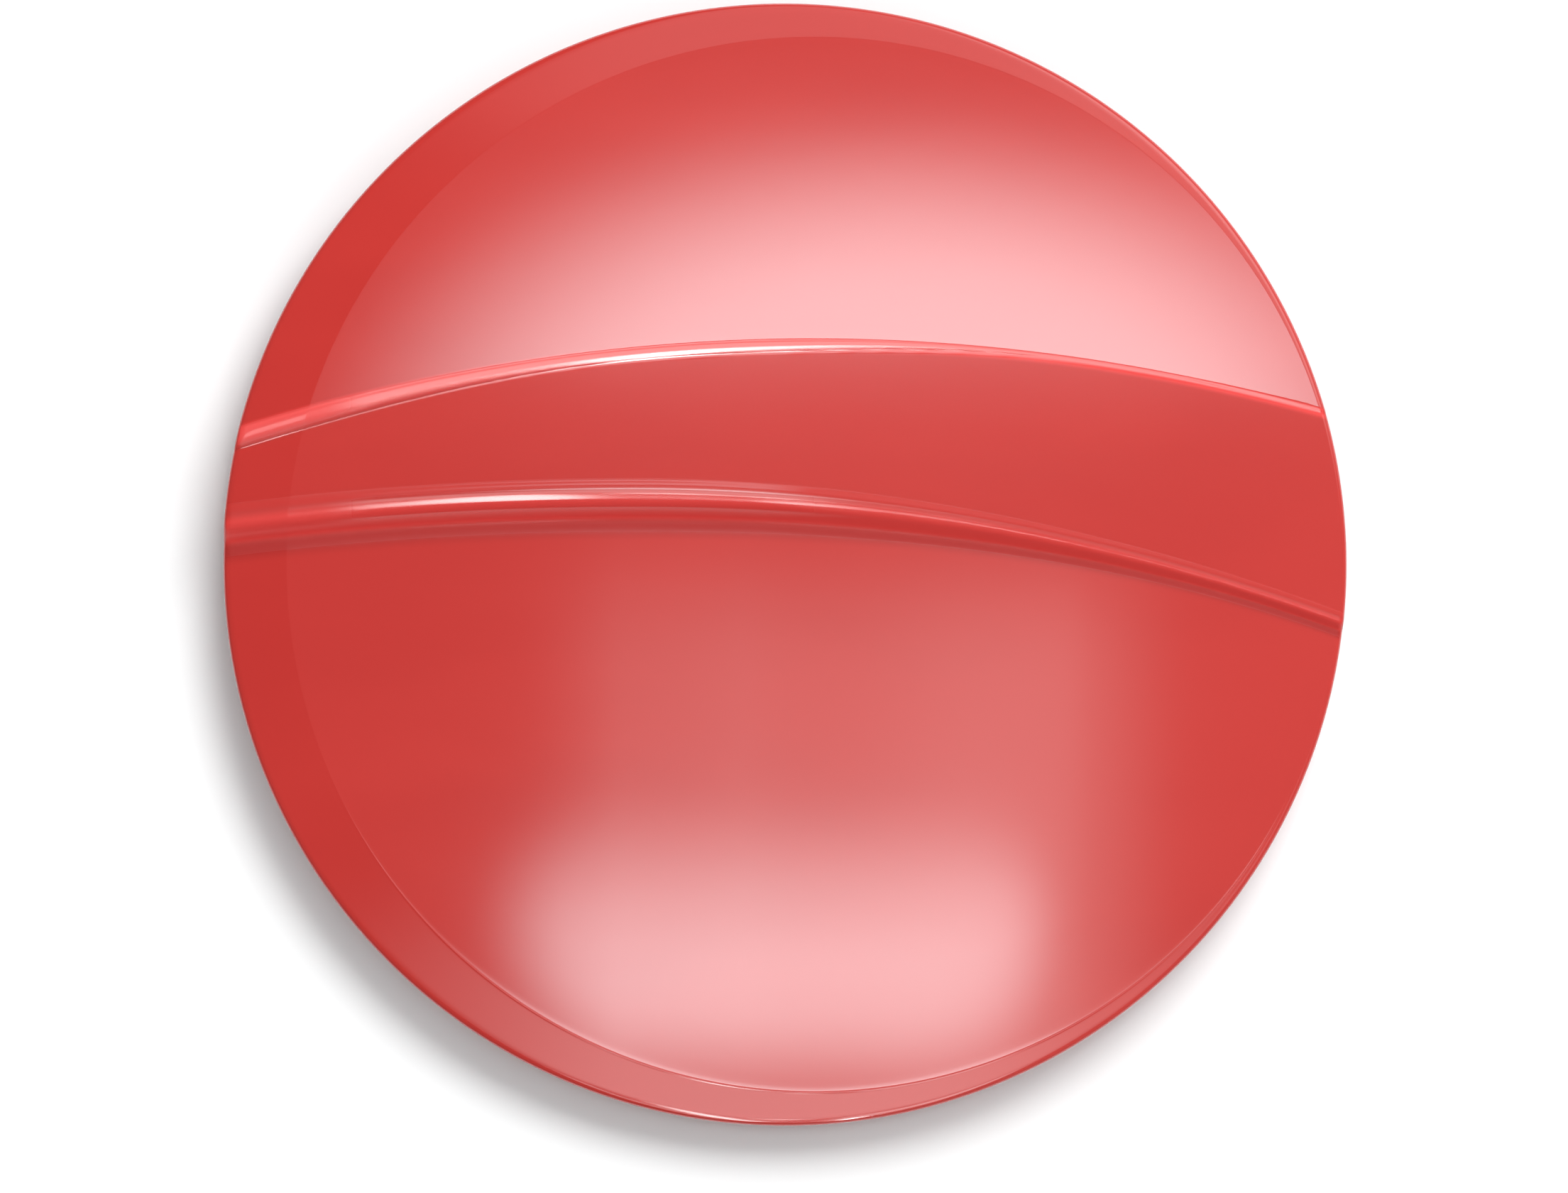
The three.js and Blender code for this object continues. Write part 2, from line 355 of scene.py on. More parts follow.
# Each stretch of rows is (from, to, steps), as shares of the way from one guide to the next.
APRON_STRETCHES = [(0, 0.8, 24), (0.8, 0.9, 8), (0.9, 1, 44)]
BAND_STRETCHES = [(0, 0.15, 16), (0.15, 0.55, 10), (0.55, 1, 44)]
CROWN_STRETCHES = [(0, 0.04, 6), (0.04, 1, 24)]
HALVINGS = 50

COLUMNS = 120
BLOCK_SHARE = 0.86
BLOCK_SQUARENESS = 0.35

# Rings of points round the block: up to the shoulder's line, over it (in millimetres), and past it.
RINGS_TO_LINE = [0.12, 0.25, 0.38, 0.52, 0.66, 0.8, 0.9, 0.96]
LINE_RINGS = [-0.6, -0.4, -0.25, -0.12, 0, 0.12, 0.25, 0.4, 0.6]
RINGS_TO_EDGE = [0.12, 0.3, 0.48, 0.64, 0.77, 0.87, 0.93, 0.965, 0.985, 0.996, 1]

# The skirt's foot as (distance in from the outside, height over the bottom), in millimetres.
FOOT_OUTSIDE = [(0, 0.5), (0.04, 0.3), (0.16, 0.12), (0.36, 0.02), (0.55, 0)]
FOOT_INSIDE = [(1.2, 0), (1.4, 0.06), (1.5, 0.25)]

TOP_LAYER = 0
UNDER_LAYER = 1
SKIRT_LAYER = 2


def crest_y(name, x):
    """A crest line's place across the blank, as the rule of the height has it."""
    run = x - SHAPE[name + " Crest X"]
    bend = np.where(run < 0, SHAPE[name + " Crest Bend Left"], SHAPE[name + " Crest Bend Right"])
    return SHAPE[name + " Crest Y"] - run * run / (2 * bend)


def edge_point(angle):
    """A point of the disc's edge."""
    return DISC_RADIUS * np.stack([np.cos(angle), np.sin(angle)], axis=-1)


def block_point(angle):
    """The border of the block of rows and columns: a circle drawn part of the way to a square."""
    round_point = edge_point(angle) * BLOCK_SHARE
    to_side = math.sqrt(0.5) / np.maximum(np.abs(np.cos(angle)), np.abs(np.sin(angle)))
    return round_point * np.asarray(1 - BLOCK_SQUARENESS + BLOCK_SQUARENESS * to_side)[..., None]


def crest_end(name, middle, border):
    """The angle at which a crest line meets a border, near the middle of its left or right side."""
    low, high = middle - math.pi / 4, middle + math.pi / 4
    for _ in range(HALVINGS):
        angle = (low + high) / 2
        x, y = border(angle)
        is_above = y > crest_y(name, x)
        if is_above == (middle == 0):
            high = angle
        else:
            low = angle
    return (low + high) / 2


class Guide:
    """A line that the rows run between, with the angles of its ends on the block and the edge."""

    def __init__(self, block_ends, edge_ends, at):
        self.block_ends = np.array(block_ends)
        self.edge_ends = np.array(edge_ends)
        self.at = at


def side_guide(left, right, sweep):
    """A guide along the front or the back of the block's border, its angles in degrees."""
    ends = [math.radians(left), math.radians(right)]
    turn = math.radians(sweep)
    return Guide(ends, ends, lambda share: block_point(ends[0] + share * turn))


def crest_guide(name):
    """A guide along a crest line."""
    block_ends = [crest_end(name, middle, block_point) for middle in (math.pi, 0)]
    edge_ends = [crest_end(name, middle, edge_point) for middle in (math.pi, 0)]
    first, last = block_point(np.array(block_ends))[:, 0]

    def at(share):
        x = mixed(first, last, share)
        return np.stack([x, crest_y(name, x)], axis=-1)

    return Guide(block_ends, edge_ends, at)


def mixed(first, second, share):
    """A share of the way from the first to the second."""
    return first * (1 - share) + second * share


def spaced(stretches):
    """Shares from a list of (from, to, steps), each stretch evenly spaced, without repeats."""
    runs = [np.linspace(low, high, steps, endpoint=False) for low, high, steps in stretches]
    return np.concatenate(runs)


def blank_rows():
    """Every row of the blank as (lower guide, upper guide, share), close together at the folds."""
    guides = [
        side_guide(225, -45, 90),
        crest_guide("Lower"),
        crest_guide("Upper"),
        side_guide(135, 45, -90),
    ]
    fields = [
        spaced(APRON_STRETCHES),
        spaced(BAND_STRETCHES),
        np.append(spaced(CROWN_STRETCHES), 1.0),
    ]
    return [(guides[n], guides[n + 1], share) for n, shares in enumerate(fields) for share in shares]


def row_points(row, across):
    """A row's points, blended from its two guides and its own two ends on the block's border."""
    lower, upper, share = row
    ends = block_point(mixed(lower.block_ends, upper.block_ends, share))

    def between(place):
        return mixed(lower.at(place), upper.at(place), share)

    bulge = ends - between(np.array([0.0, 1.0]))
    return between(across) + np.outer(1 - across, bulge[0]) + np.outer(across, bulge[1])


def block_border(rows):
    """The block's border anticlockwise: each point's number and the edge angle that it faces."""
    top = len(rows) - 1
    width = COLUMNS + 1
    ends = [mixed(low.edge_ends, high.edge_ends, share) for low, high, share in rows]
    lefts, rights = np.array(ends).T
    steps = np.arange(COLUMNS) / COLUMNS
    index = np.concatenate([
        np.arange(COLUMNS),
        np.arange(top) * width + COLUMNS,
        top * width + np.arange(COLUMNS, 0, -1),
        np.arange(top, 0, -1) * width,
    ])
    angle = np.concatenate([
        mixed(lefts[0], rights[0] + math.tau, steps),
        rights[:top],
        mixed(rights[top], lefts[top], steps),
        lefts[:0:-1],
    ])
    return index, angle


def line_share(start, end):
    """How far along from start to end the shoulder's circle is crossed."""
    way = end - start
    off = start - np.array([SHAPE["Shoulder Centre X"], 0])
    a = (way * way).sum(1)
    b = (way * off).sum(1)
    c = (off * off).sum(1) - SHAPE["Shoulder Radius"] ** 2
    return (np.sqrt(b * b - a * c) - b) / a


def ribbon(first, second):
    """Four-sided faces between two closed loops, the second outside or below the first."""
    return np.stack([first, second, np.roll(second, -1), np.roll(first, -1)], axis=1)


def shell_net():
    """The flat net of one face of the shell: points, faces and the loop of edge points."""
    rows = blank_rows()
    across = np.linspace(0, 1, COLUMNS + 1)
    points = [np.concatenate([row_points(row, across) for row in rows])]
    low = (np.arange(len(rows) - 1)[:, None] * (COLUMNS + 1) + np.arange(COLUMNS)).ravel()
    high = low + COLUMNS + 1
    faces = [np.stack([low, low + 1, high + 1, high], axis=1)]
    border, angle = block_border(rows)
    start, end = points[0][border], edge_point(angle)
    crossing = line_share(start, end)
    length = np.linalg.norm(end - start, axis=1)
    line = [crossing + place * MM / length for place in LINE_RINGS]
    shares = [mixed(0, line[0], step) for step in RINGS_TO_LINE] + line
    shares += [mixed(shares[-1], 1, step) for step in RINGS_TO_EDGE]
    count = len(points[0])
    edge = border
    for share in shares:
        ring = count + np.arange(len(border))
        points.append(start + (end - start) * share[:, None])
        faces.append(ribbon(edge, ring))
        edge = ring
        count += len(border)
    return np.concatenate(points), np.concatenate(faces), edge


def shell_blank():
    """A closed flat blank: a top net, an underside net and the skirt's rings, marked by layer."""
    net, faces, edge = shell_net()
    flat = np.column_stack([net, np.zeros(len(net))])
    parts = [flat, flat]
    layers = [np.full(len(net), TOP_LAYER), np.full(len(net), UNDER_LAYER)]
    all_faces = [faces, faces[:, ::-1] + len(net)]
    count = 2 * len(net)
    loop = edge
    for inset, lift in FOOT_OUTSIDE + FOOT_INSIDE:
        ring = count + np.arange(len(edge))
        flat_ring = net[edge] * (1 - inset * MM / DISC_RADIUS)
        parts.append(np.column_stack([flat_ring, np.full(len(edge), SKIRT_BOTTOM + lift * MM)]))
        layers.append(np.full(len(edge), SKIRT_LAYER))
        all_faces.append(ribbon(loop, ring))
        loop = ring
        count += len(edge)
    all_faces.append(ribbon(loop, edge + len(net)))
    points, faces = np.concatenate(parts), np.concatenate(all_faces)
    return layered_mesh("shell_blank", points, faces, np.concatenate(layers))


def layered_mesh(name, points, faces, layers):
    """A mesh with the number of each point's layer kept beside it."""
    mesh = bpy.data.meshes.new(name)
    mesh.from_pydata(points.tolist(), [], faces.tolist())
    mesh.attributes.new("layer", "INT", "POINT").data.foreach_set("value", layers.astype(np.int32))
    mesh.validate()
    return mesh


# ---------------------------------------------------------------- pieces

INWARD_POWER = 8
RIM_STEPS_ROUND = 720
GRIP_STEPS_ROUND = 360
GRIP_ARC_POINTS = 13
ROUNDING_STEPS = 4
MERGE_DISTANCE = 0.001 * MM
RIM_INNER_RADIUS = DISC_RADIUS - 11.4 * MM
RIM_WEB = 2.4 * MM
RIM_WEB_BLANK = 2 * MM
RIM_EDGE_ROUNDING = 0.3 * MM
GRIP_INNER_RADIUS = DISC_RADIUS - 13 * MM
GRIP_FLAT_INNER = DISC_RADIUS - 9.6 * MM
GRIP_FLAT_OUTER = DISC_RADIUS - 4.8 * MM
LIP_ROUNDING = 0.5 * MM
RIB = {"Rib Count": 240, "Rib Length": 5.2 * MM, "Rib Radius": 0.55 * MM, "Rib Height": 6.2 * MM}
RIB_SEGMENTS = 8
RIB_RINGS = 6


def underside_place(tree, x, y):
    """The underside under a point of the top: lower by the wall, and drawn in at the edge."""
    away = hypotenuse(x, y) / tree.size("Disc Radius")
    draw = 1 - tree.size("Wall") / tree.size("Disc Radius") * away**INWARD_POWER
    return tree.join(x * draw, y * draw, top_height(tree, x, y) - tree.size("Wall"))


def form_shell(material):
    """Presses the flat blank into the domed and folded shell."""
    tree = GeometryTree("form_shell", SHAPE)
    blank = Link(tree, tree.given.outputs["Geometry"])
    layer = tree.link("GeometryNodeInputNamedAttribute", {"data_type": "INT"}, {"Name": "layer"})
    position = tree.link("GeometryNodeInputPosition")
    x, y, _ = tree.split(position)
    top = tree.join(x, y, top_height(tree, x, y))

    def where(number, geometry, place):
        settings = {"data_type": "INT", "operation": "EQUAL"}
        chosen = tree.link("FunctionNodeCompare", settings, {2: layer, 3: number})
        values = {"Geometry": geometry, "Selection": chosen, "Position": place}
        return tree.link("GeometryNodeSetPosition", values=values)

    under = where(UNDER_LAYER, blank, underside_place(tree, x, y))
    tree.finish(where(TOP_LAYER, under, top), material)
    return tree.make("gloss_shell", shell_blank())


def section(corners):
    """A ring's cross-section as a closed loop of edges, from (radius, height) pairs."""
    mesh = bpy.data.meshes.new("section")
    loop = [(radius, 0, height) for radius, height in corners]
    mesh.from_pydata(loop, [(n, (n + 1) % len(loop)) for n in range(len(loop))], [])
    return mesh


def rounded(corners):
    """A section with its corners rounded: each corner is (radius, height, rounding)."""
    points = []
    for n, (*place, rounding) in enumerate(corners):
        here = np.array(place)
        before = np.array(corners[n - 1][:2]) - here
        after = np.array(corners[(n + 1) % len(corners)][:2]) - here
        start = here + before / np.linalg.norm(before) * rounding
        end = here + after / np.linalg.norm(after) * rounding
        for share in np.linspace(0, 1, ROUNDING_STEPS + 1):
            bow = mixed(mixed(start, here, share), mixed(here, end, share), share)
            points.append(tuple(bow))
            if rounding == 0:
                break
    return points


def revolved(tree, count, follow=None):
    """A section carried once round the disc's axis on a grid, and closed on itself."""
    outline = Link(tree, tree.given.outputs["Geometry"])
    steps = tree.size("Steps Round")
    values = {"Vertices X": steps + 1, "Vertices Y": count + 1}
    grid = tree.link("GeometryNodeMeshGrid", values=values)
    index = tree.link("GeometryNodeInputIndex")
    turn = (index / (count + 1)).whole() / steps * math.tau
    settings = {"data_type": "FLOAT_VECTOR", "domain": "POINT"}
    here = tree.link("GeometryNodeInputPosition")
    corner = index.remainder(count + 1).remainder(count)
    values = {"Geometry": outline, "Value": here, "Index": corner}
    radius, _, height = tree.split(tree.link("GeometryNodeSampleIndex", settings, values))
    x, y = radius * turn.cosine(), radius * turn.sine()
    if follow:
        height = follow(x, y, height)
    values = {"Geometry": grid, "Position": tree.join(x, y, height)}
    swept = tree.link("GeometryNodeSetPosition", values=values)
    values = {"Geometry": swept, "Distance": MERGE_DISTANCE}
    return tree.link("GeometryNodeMergeByDistance", values=values)


def form_inner_rim(material):
    """The rigid hoop: an upright web and a flange, its upper edge following the shell."""
    flange_outer = DISC_RADIUS - WALL - GAP
    web_outer = RIM_INNER_RADIUS + RIM_WEB
    web_top = SKIRT_BOTTOM + RIM_WEB_BLANK
    corners = rounded([
        (RIM_INNER_RADIUS, RIM_BOTTOM, 0),
        (flange_outer, RIM_BOTTOM, RIM_EDGE_ROUNDING),
        (flange_outer, SKIRT_BOTTOM, RIM_EDGE_ROUNDING),
        (web_outer, SKIRT_BOTTOM, 0),
        (web_outer, web_top, 0),
        (RIM_INNER_RADIUS, web_top, 0),
    ])
    tree = GeometryTree("form_inner_rim", SHAPE | {"Steps Round": RIM_STEPS_ROUND, "Gap": GAP})

    def follow(x, y, height):
        is_top = height.above(web_top - RIM_WEB_BLANK / 2)
        ceiling = top_height(tree, x, y) - tree.size("Wall") - tree.size("Gap")
        return height + is_top * (ceiling - height)

    tree.finish(revolved(tree, len(corners), follow), material)
    return tree.make("satin_inner_rim", section(corners))


def grip_corners():
    """The soft ring's section: a flat foot, round flanks, and a lip up each side."""
    quarter = np.linspace(0, math.pi / 2, GRIP_ARC_POINTS)
    rising = [(math.sin(angle), 1 - math.cos(angle)) for angle in quarter]
    outer = [
        (mixed(GRIP_FLAT_OUTER, DISC_RADIUS, out), mixed(0, RIM_BOTTOM, up)) for out, up in rising
    ]
    inner = [
        (mixed(GRIP_INNER_RADIUS, GRIP_FLAT_INNER, out), mixed(RIM_BOTTOM, 0, down))
        for down, out in rising
    ]
    lips = rounded([
        (DISC_RADIUS, SKIRT_BOTTOM - GAP, LIP_ROUNDING),
        (DISC_RADIUS - WALL, SKIRT_BOTTOM - GAP, 0),
        (DISC_RADIUS - WALL, RIM_BOTTOM - GAP, 0),
        (RIM_INNER_RADIUS - GAP, RIM_BOTTOM - GAP, 0),
        (RIM_INNER_RADIUS - GAP, GRIP_LIP_TOP, LIP_ROUNDING),
        (GRIP_INNER_RADIUS, GRIP_LIP_TOP, LIP_ROUNDING),
    ])
    return outer + lips + inner


def form_grip_ring(material):
    """The soft ring, with a row of fine upright ribs on its inner side for the fingers."""
    corners = grip_corners()
    sizes = RIB | {"Steps Round": GRIP_STEPS_ROUND, "Rib Circle": GRIP_INNER_RADIUS}
    tree = GeometryTree("form_grip_ring", sizes)
    ring = revolved(tree, len(corners))
    values = {"Count": tree.size("Rib Count")}
    spots = tree.link("GeometryNodeMeshLine", {"mode": "OFFSET"}, values)
    turn = tree.link("GeometryNodeInputIndex") / tree.size("Rib Count") * math.tau
    x = tree.size("Rib Circle") * turn.cosine()
    y = tree.size("Rib Circle") * turn.sine()
    values = {"Geometry": spots, "Position": tree.join(x, y, tree.size("Rib Height"))}
    placed = tree.link("GeometryNodeSetPosition", values=values)
    values = {"Segments": RIB_SEGMENTS, "Rings": RIB_RINGS, "Radius": tree.size("Rib Radius")}
    rib = tree.link("GeometryNodeMeshUVSphere", values=values)
    stretch = tree.join(1, 1, tree.size("Rib Length") / (2 * tree.size("Rib Radius")))
    values = {"Points": placed, "Instance": rib, "Scale": stretch}
    ribs = tree.link("GeometryNodeInstanceOnPoints", values=values)
    joined = tree.node("GeometryNodeJoinGeometry")
    tree.tree.links.new(ribs.socket, joined.inputs[0])
    tree.tree.links.new(ring.socket, joined.inputs[0])
    tree.finish(Link(tree, joined.outputs[0]), material)
    return tree.make("soft_grip_ring", section(corners))


# ---------------------------------------------------------------- finishes


class Finish(Tree):
    """A material's node tree round one Principled shader."""

    def __init__(self, name, **fixed):
        self.material = bpy.data.materials.new(name)
        self.material.use_nodes = True
        super().__init__(self.material.node_tree)
        self.tree.nodes.clear()
        self.shader = self.node("ShaderNodeBsdfPrincipled")
        self.node("ShaderNodeOutputMaterial", values={"Surface": Link(self, self.shader.outputs[0])})
        for socket, value in fixed.items():
            self.shader.inputs[socket.replace("_", " ")].default_value = value
        self.place = self.link("ShaderNodeTexCoord", output=3)

    def feed(self, socket, link):
        """Links a value or a colour to one of the shader's sockets."""
        self.tree.links.new(link.socket, self.shader.inputs[socket])

    def noise(self, size, detail, roughness, stretch=(1, 1, 1)):
        """Noise with features of about the given size, from 0 to 1."""
        values = {"Vector": self.place, "Scale": stretch}
        place = self.link("ShaderNodeMapping", {"vector_type": "POINT"}, values)
        values = {"Vector": place, "Scale": 1 / size, "Detail": detail, "Roughness": roughness}
        return self.link("ShaderNodeTexNoise", {}, values)

    def bump(self, height, distance):
        """Raises the surface by a height from 0 to 1 times a distance."""
        values = {"Height": height, "Distance": distance, "Strength": 1.0}
        self.feed("Normal", self.link("ShaderNodeBump", {}, values))


DEEP_RED = (0.45, 0.021, 0.016, 1)
WARM_RED = (0.48, 0.025, 0.019, 1)
# Painted light: a paler red for the lip, where it slopes away from the key lamp.
LIP_PAINTED_LIGHT_COLOUR = (0.74, 0.05, 0.045, 1)
# Painted light: a paler red for the bead's steep face, in place of its shading.
FACE_PAINTED_LIGHT_RED = (0.68, 0.03, 0.024, 1)
# Painted shade: a darker red in the crease at the bead's foot.
CREASE_PAINTED_SHADE_COLOUR = (0.34, 0.014, 0.011, 1)
RIM_RED = (0.40, 0.016, 0.013, 1)
RIM_RED_WORN = (0.46, 0.024, 0.019, 1)
GRIP_RED = (0.36, 0.016, 0.013, 1)
GRIP_RED_DUSTY = (0.44, 0.03, 0.024, 1)
GLOSS_ROUGHNESS = 0.1
WIPE_ROUGHNESS = 0.035
DULL_ROUGHNESS = 0.45
DULL_COAT_LOSS = 0.95
RIDGE_DULLNESS = 0.7
END_DULLNESS = 0.8
RIM_ROUGHNESS = 0.46
RIM_RUBBED_SMOOTHER = 0.16
GRIP_ROUGHNESS = 0.58
GRIP_HANDLED_ROUGHER = 0.14
GRIP_COARSE_SHARE = 0.6
PEEL_HEIGHT = 0.004 * MM
RIM_GRAIN_HEIGHT = 0.02 * MM
GRIP_GRAIN_HEIGHT = 0.035 * MM

# Each noise is (size of its features, detail, roughness, stretch where it has one).
FLOW_MARKS = (60 * MM, 3, 0.5, (0.4, 1, 1))
WIPES = (18 * MM, 4, 0.6, (0.25, 1, 1))
ORANGE_PEEL = (5 * MM, 2, 0.4)
RIM_PATCHES = (14 * MM, 4, 0.6)
RIM_GRAIN = (0.5 * MM, 2, 0.5)
HANDLING = (22 * MM, 5, 0.65)
GRIP_GRAIN = (0.35 * MM, 3, 0.6)
GRIP_COARSE_GRAIN = (1.2 * MM, 2, 0.5)

# Each pair is the noise at which the second colour starts and the noise at which it is full.
FLOW_RANGE = (0.35, 0.65)
RIM_PATCH_RANGE = (0.3, 0.7)
HANDLING_RANGE = (0.42, 0.72)

# Stretches in front of a crest, in millimetres: where one rises, from and to, and where it falls.
# The lip's stretch carries painted light, a paler red, and also the dull left end.
LIP_STRETCH = ((-0.4, 0.2), (1.0, 2.1))
BEAD_RIDGE = ((-2, -1.3), (0, 0.6))
BEAD_NOSE = ((-1, 0), (5, 6))
# The bead's face carries painted light: a paler red where its steep face turns from the key lamp.
PAINTED_LIGHT_FACE_STRETCH = ((0.6, 3), (6.8, 8.6))
BEAD_BREADTH = ((-2, -1), (9, 11))
BEAD_CREASE = ((4.5, 6.8), (9.2, 11.5))
# The bead's foot carries painted shade: a darker red in the crease.
PAINTED_SHADE_FOOT_STRETCH = ((6.8, 9.2), (9.4, 13))

# Where the folds' dull ends start and are full: across to the right, and across to the left.
RIGHT_END = (-8 * MM, 25 * MM)
LEFT_END = (98 * MM, 114 * MM)

# The strip at the very edge in which the painted light and shade of the folds give way to the side's
# colour.
SIDE_STRIP = (DISC_RADIUS - 0.8 * MM, DISC_RADIUS - 0.2 * MM)


def band(place, rise, fall):
    """One within a stretch and nothing outside it, fading between each end's pair of places."""
    rising = place.smooth_step(rise[0] * MM, rise[1] * MM)
    return rising * (1 - place.smooth_step(fall[0] * MM, fall[1] * MM))


def gloss_shell_finish():
    """Hard gloss plastic: flow marks in the colour, with painted light (a paler red) on the lip and on
    the bead's steep face, and painted shade (a darker red) in the crease at the bead's foot.

    The bead's ridge and crease, its right part and both folds' left ends are duller than the rest.
    There is a faint orange peel all over.
    """
    finish = Finish("gloss_red_plastic", IOR=1.48, Coat_Roughness=0.06, Coat_IOR=1.5)
    flow = finish.noise(*FLOW_MARKS).smooth_step(*FLOW_RANGE)
    x, y, _ = finish.split(finish.place)
    run = (crest_height(SHAPE.get, "Lower", x) - y) / bead_scale(SHAPE.get, x)
    below = crest_height(SHAPE.get, "Upper", x) - y
    on_top = 1 - hypotenuse(x, y).smooth_step(*SIDE_STRIP)
    # Painted light on the lip: a paler red where it slopes away from the key lamp.
    lip = on_top * band(below / (1 + lip_scale(SHAPE.get, x)), *LIP_STRETCH)
    # Painted light on the bead's steep face: a paler red.
    face = on_top * band(run, *PAINTED_LIGHT_FACE_STRETCH)
    # Painted shade at the bead's foot: a darker red in the crease.
    foot = on_top * band(run, *PAINTED_SHADE_FOOT_STRETCH)
    red = finish.mix(lip, finish.mix(flow, DEEP_RED, WARM_RED), LIP_PAINTED_LIGHT_COLOUR)
    red = finish.mix(foot, finish.mix(face, red, FACE_PAINTED_LIGHT_RED), CREASE_PAINTED_SHADE_COLOUR)
    finish.feed("Base Color", red)
    wipes = finish.noise(*WIPES)
    crease = band(run, *BEAD_CREASE)
    ridge = RIDGE_DULLNESS * band(run, *BEAD_RIDGE)
    right = END_DULLNESS * (x.smooth_step(*RIGHT_END) * band(run, *BEAD_BREADTH))
    left = END_DULLNESS * ((-x).smooth_step(*LEFT_END) * (lip + band(run, *BEAD_NOSE)))
    dull = on_top * (crease + ridge + right + left).at_most(1)
    finish.feed("Roughness", GLOSS_ROUGHNESS + WIPE_ROUGHNESS * wipes + DULL_ROUGHNESS * dull)
    finish.feed("Coat Weight", 1 - DULL_COAT_LOSS * dull)
    finish.bump(finish.noise(*ORANGE_PEEL), PEEL_HEIGHT)
    return finish.material


def satin_rim_finish():
    """Satin plastic with a fine even grain, rubbed a little smoother in patches."""
    finish = Finish("satin_red_plastic", IOR=1.48)
    patches = finish.noise(*RIM_PATCHES)
    worn = patches.smooth_step(*RIM_PATCH_RANGE)
    finish.feed("Base Color", finish.mix(worn, RIM_RED, RIM_RED_WORN))
    finish.feed("Roughness", RIM_ROUGHNESS - RIM_RUBBED_SMOOTHER * patches)
    finish.bump(finish.noise(*RIM_GRAIN), RIM_GRAIN_HEIGHT)
    return finish.material


def soft_grip_finish():
    """Soft matt elastomer: a dense fine grain, duller and paler where it is handled."""
    finish = Finish("soft_red_elastomer", IOR=1.5)
    handling = finish.noise(*HANDLING)
    dusty = handling.smooth_step(*HANDLING_RANGE)
    finish.feed("Base Color", finish.mix(dusty, GRIP_RED, GRIP_RED_DUSTY))
    finish.feed("Roughness", GRIP_ROUGHNESS + GRIP_HANDLED_ROUGHER * handling)
    grain = finish.noise(*GRIP_GRAIN) + GRIP_COARSE_SHARE * finish.noise(*GRIP_COARSE_GRAIN)
    finish.bump(grain, GRIP_GRAIN_HEIGHT)
    return finish.material


# ---------------------------------------------------------------- stage

# The camera sees the disc over this share of its view, and looks down this far in front of its middle.
DISC_SHARE = 0.7147
LOOK_BELOW = 7.5 * MM

FLOOR_HALF = 1.2
FLOOR_WHITE = (0.82, 0.82, 0.82, 1)
CLIP_END = 50
LENS = 200
SENSOR = 36


def floor():
    """A plain white floor."""
    mesh = bpy.data.meshes.new("floor")
    corners = [(-1, -1), (1, -1), (1, 1), (-1, 1)]
    mesh.from_pydata([(x * FLOOR_HALF, y * FLOOR_HALF, 0) for x, y in corners], [], [(0, 1, 2, 3)])
    plane = bpy.data.objects.new("floor", mesh)
    bpy.context.scene.collection.objects.link(plane)
    finish = Finish("white_floor", Roughness=0.9)
    finish.shader.inputs["Specular IOR Level"].default_value = 0.0
    finish.shader.inputs["Base Color"].default_value = FLOOR_WHITE
    mesh.materials.append(finish.material)


def camera():
    """Straight above, a little towards the front, with the whole disc in view."""
    bpy.context.scene.view_settings.view_transform = "Standard"
    data = bpy.data.cameras.new("camera")
    data.lens = LENS
    data.sensor_width = SENSOR
    data.clip_end = CLIP_END
    view_width = 2 * DISC_RADIUS / DISC_SHARE
    eye = bpy.data.objects.new("camera", data)
    eye.location = (0, -LOOK_BELOW, SHELL_HIGH.z / 2 + view_width * LENS / SENSOR)
    bpy.context.scene.collection.objects.link(eye)
    bpy.context.scene.camera = eye


def from_edge(place, edge, fade):
    """Full at an edge and beyond it, and nothing a fade before it."""
    return place.smooth_step(edge - fade, edge)


class Panel:
    """A soft-edged rectangle of light in the tent, placed by slopes seen from the disc.

    Each side is (edge, fade): the light is full as far as the edge and gone a fade further out.
    """

    def __init__(self, radiance, left, right, near, far):
        self.radiance = radiance
        self.left = left
        self.right = right
        self.near = near
        self.far = far

    def light(self, across, along):
        inside = from_edge(across, *self.left) * from_edge(along, *self.near)
        inside = inside * from_edge(-across, -self.right[0], self.right[1])
        return self.radiance * inside * from_edge(-along, -self.far[0], self.far[1])


class Oval:
    """A soft-edged oval of light in the tent, with one side cut off by a soft straight edge."""

    def __init__(self, radiance, centre, half_size, fade, cut, lean=0.0):
        self.radiance = radiance
        self.centre = centre
        self.half_size = half_size
        self.fade = fade
        self.cut = cut
        self.lean = lean

    def light(self, across, along):
        beside = along - self.centre[1]
        away_x = (across - self.centre[0] - self.lean * beside) / self.half_size[0]
        away_y = beside / self.half_size[1]
        inside = 1 - hypotenuse(away_x, away_y).smooth_step(*self.fade)
        outward = along if self.centre[1] > 0 else -along
        return self.radiance * inside * from_edge(outward, *self.cut)


